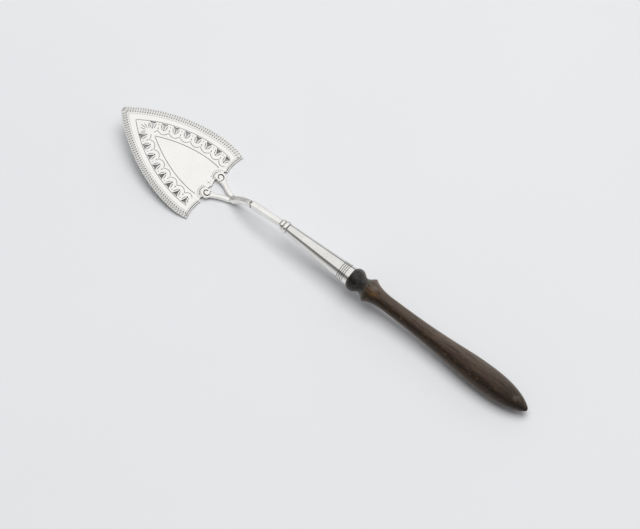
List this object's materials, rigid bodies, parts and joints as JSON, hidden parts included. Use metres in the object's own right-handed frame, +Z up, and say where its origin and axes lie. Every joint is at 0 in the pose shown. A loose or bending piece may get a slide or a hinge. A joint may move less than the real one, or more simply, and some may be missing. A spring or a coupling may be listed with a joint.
{
  "type": "butter spade",
  "caption": "Butter spade with a pointed, pierced and engraved silver blade, a forked scrolled stem, a tapered socket and a turned dark wood handle.",
  "frame": {"origin": "on the table, midway between the blade's tip and the handle's butt, on the centre line", "axes": "+X from the blade's tip to the handle's butt, +Y to the right of someone looking from the handle's butt towards the blade's tip, +Z up from the table"},
  "size_m": [0.2596, 0.0476, 0.0183],
  "materials": {
    "blade_silver": "hand-polished silver plate, engraved",
    "stem_silver": "polished forged and turned silver",
    "socket_silver": "polished silver sheet with fine turned grooves",
    "dark_wood": "oiled dark hardwood, satin, with worn streaks along the grain",
    "pitch": "dull set pitch"
  },
  "bodies": {
    "root": {"pierced_blade": "blade_silver", "left_scroll_arm": "stem_silver", "right_scroll_arm": "stem_silver", "stem_neck": "stem_silver", "stem_shaft": "stem_silver", "knop_front_ring": "stem_silver", "knop_rear_ring": "stem_silver", "socket_cone": "socket_silver", "pitch_plug": "pitch", "turned_handle": "dark_wood", "handle_pin": "stem_silver"}
  },
  "joints": []
}
